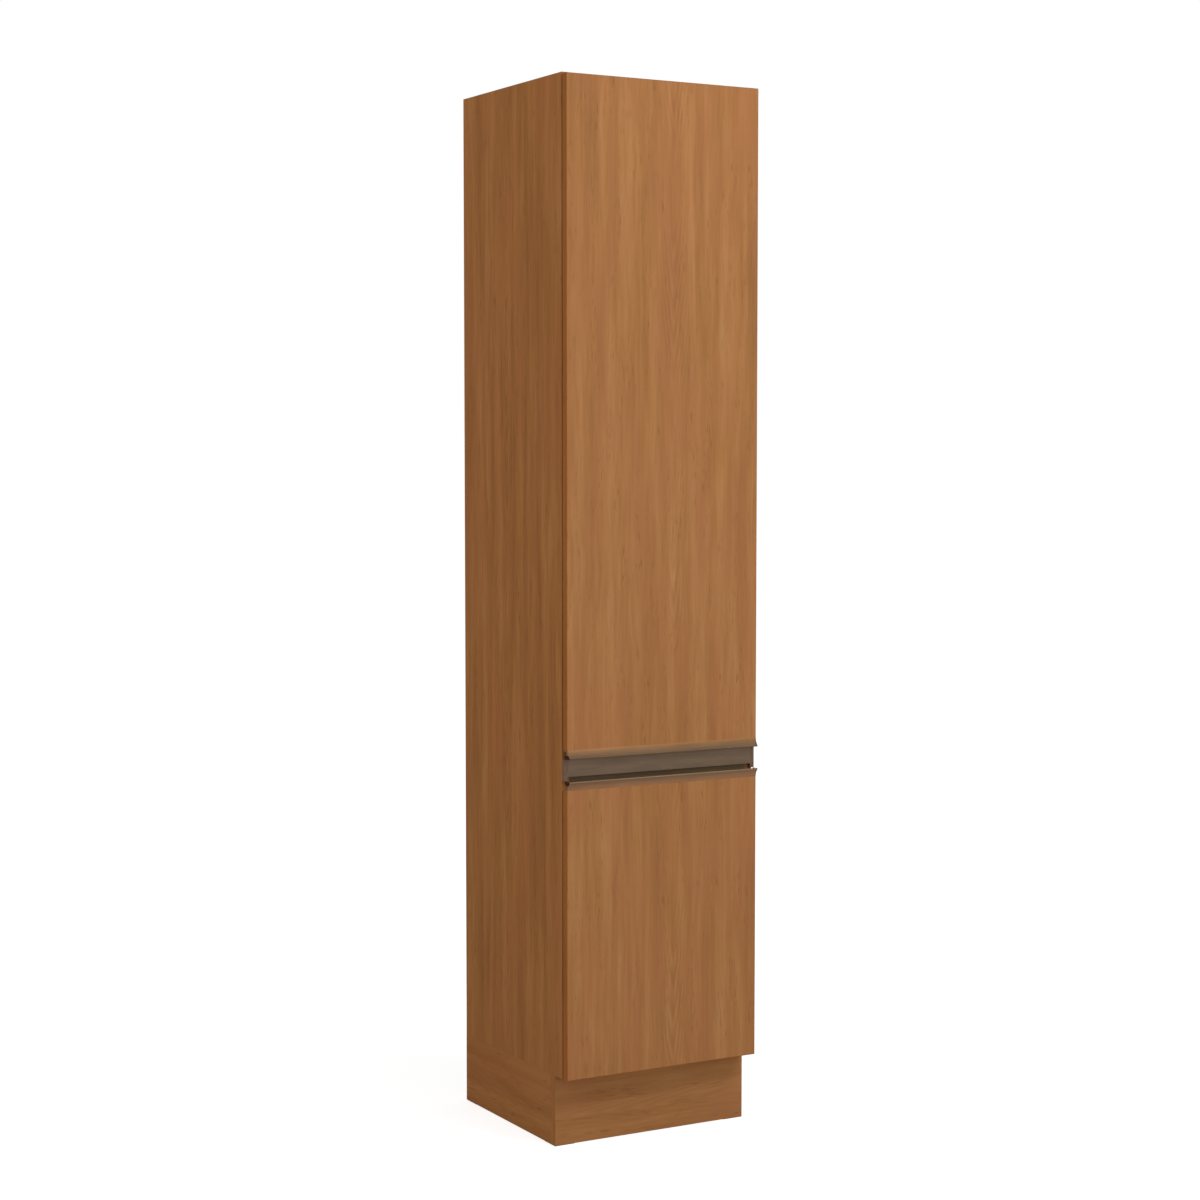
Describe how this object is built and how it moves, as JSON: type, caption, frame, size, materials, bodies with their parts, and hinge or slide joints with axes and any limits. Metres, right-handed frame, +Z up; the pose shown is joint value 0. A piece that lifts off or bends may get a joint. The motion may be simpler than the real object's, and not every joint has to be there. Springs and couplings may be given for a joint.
{
  "type": "broom cupboard",
  "caption": "Tall narrow free-standing cupboard with a long upper door, a short lower door, a recessed full-width grip between them and a set-back plinth.",
  "frame": {"origin": "floor level, under the middle of the whole object including the grip lips", "axes": "+Z up, the doors face -Y, +X is to the right seen from the front"},
  "size_m": [0.4, 0.411, 1.915],
  "materials": {
    "laminate": "satin melamine laminate with a fine vertical wood grain",
    "back_board": "smooth lacquered fibreboard",
    "bronze_aluminium": "satin bronze anodised",
    "black_plastic": "moulded, matt",
    "brown_plastic": "moulded, matt",
    "beech": "planed, untreated",
    "zinc": "die-cast zinc, matt",
    "plated_steel": "zinc plated",
    "hinge_steel": "nickel plated, polished",
    "glide_plastic": "moulded, matt",
    "bumper_plastic": "clear, soft"
  },
  "bodies": {
    "carcass": {"adjustable_shelf": "laminate", "back_joining_strip": "brown_plastic", "back_panel_lower": "back_board", "back_panel_upper": "back_board", "bottom_panel": "laminate", "cam_bolts": "plated_steel", "cam_cover_caps": "brown_plastic", "cam_housings": "zinc", "door_bumpers": "bumper_plastic", "dowels": "beech", "floor_glides": "glide_plastic", "handle_rail": "laminate", "hat_shelf": "laminate", "hinge_arm_pins": "plated_steel", "hinge_arm_screws": "plated_steel", "hinge_arms": "hinge_steel", "hinge_plate_screws": "plated_steel", "hinge_plates": "hinge_steel", "plinth_back": "laminate", "plinth_block_screws": "plated_steel", "plinth_blocks": "beech", "plinth_fixing_screws": "plated_steel", "plinth_front": "laminate", "plinth_left": "laminate", "plinth_right": "laminate", "recess_cover": "bronze_aluminium", "recess_cover_caps": "brown_plastic", "shelf_pins": "plated_steel", "side_panel_left": "laminate", "side_panel_right": "laminate", "tool_hook_screws": "plated_steel", "tool_hooks": "plated_steel", "top_panel": "laminate", "wall_bracket": "plated_steel", "wall_bracket_screws": "plated_steel"},
    "upper_outer_links": {"hinge_outer_links_upper": "hinge_steel"},
    "upper_inner_links": {"hinge_inner_links_upper": "hinge_steel"},
    "upper_door": {"door_upper": "laminate", "grip_profile_upper": "bronze_aluminium", "grip_end_caps_upper": "black_plastic", "hinge_cups_upper": "hinge_steel", "hinge_cup_pins_upper": "plated_steel", "hinge_cup_screws_upper": "plated_steel"},
    "lower_outer_links": {"hinge_outer_links_lower": "hinge_steel"},
    "lower_inner_links": {"hinge_inner_links_lower": "hinge_steel"},
    "lower_door": {"door_lower": "laminate", "grip_profile_lower": "bronze_aluminium", "grip_end_caps_lower": "black_plastic", "hinge_cups_lower": "hinge_steel", "hinge_cup_pins_lower": "plated_steel", "hinge_cup_screws_lower": "plated_steel"}
  },
  "joints": [
    {"name": "upper_outer_link_swing", "type": "hinge", "parent": "carcass", "child": "upper_outer_links", "pos_m": [0.167, -0.1747, 1.31575], "axis": [0, 0, 1], "range_deg": [-30.5, 0]},
    {"name": "upper_door_swing", "type": "hinge", "parent": "upper_outer_links", "child": "upper_door", "pos_m": [0.1885, -0.1877, 1.31575], "axis": [0, 0, 1], "range_deg": [0, 125.4]},
    {"name": "upper_inner_link_swing", "type": "hinge", "parent": "carcass", "child": "upper_inner_links", "pos_m": [0.17, -0.1915, 1.31575], "axis": [0, 0, 1], "range_deg": [-40, 0]},
    {"name": "lower_outer_link_swing", "type": "hinge", "parent": "carcass", "child": "lower_outer_links", "pos_m": [0.167, -0.1747, 0.39425], "axis": [0, 0, 1], "range_deg": [-30.5, 0]},
    {"name": "lower_door_swing", "type": "hinge", "parent": "lower_outer_links", "child": "lower_door", "pos_m": [0.1885, -0.1877, 0.39425], "axis": [0, 0, 1], "range_deg": [0, 125.4]},
    {"name": "lower_inner_link_swing", "type": "hinge", "parent": "carcass", "child": "lower_inner_links", "pos_m": [0.17, -0.1915, 0.39425], "axis": [0, 0, 1], "range_deg": [-40, 0]}
  ],
  "couplings": [
    {"joint": "upper_outer_link_swing", "follows": "upper_door_swing", "ratio": -0.24242},
    {"joint": "upper_inner_link_swing", "follows": "upper_door_swing", "ratio": -0.31818},
    {"joint": "lower_outer_link_swing", "follows": "lower_door_swing", "ratio": -0.24242},
    {"joint": "lower_inner_link_swing", "follows": "lower_door_swing", "ratio": -0.31818}
  ]
}
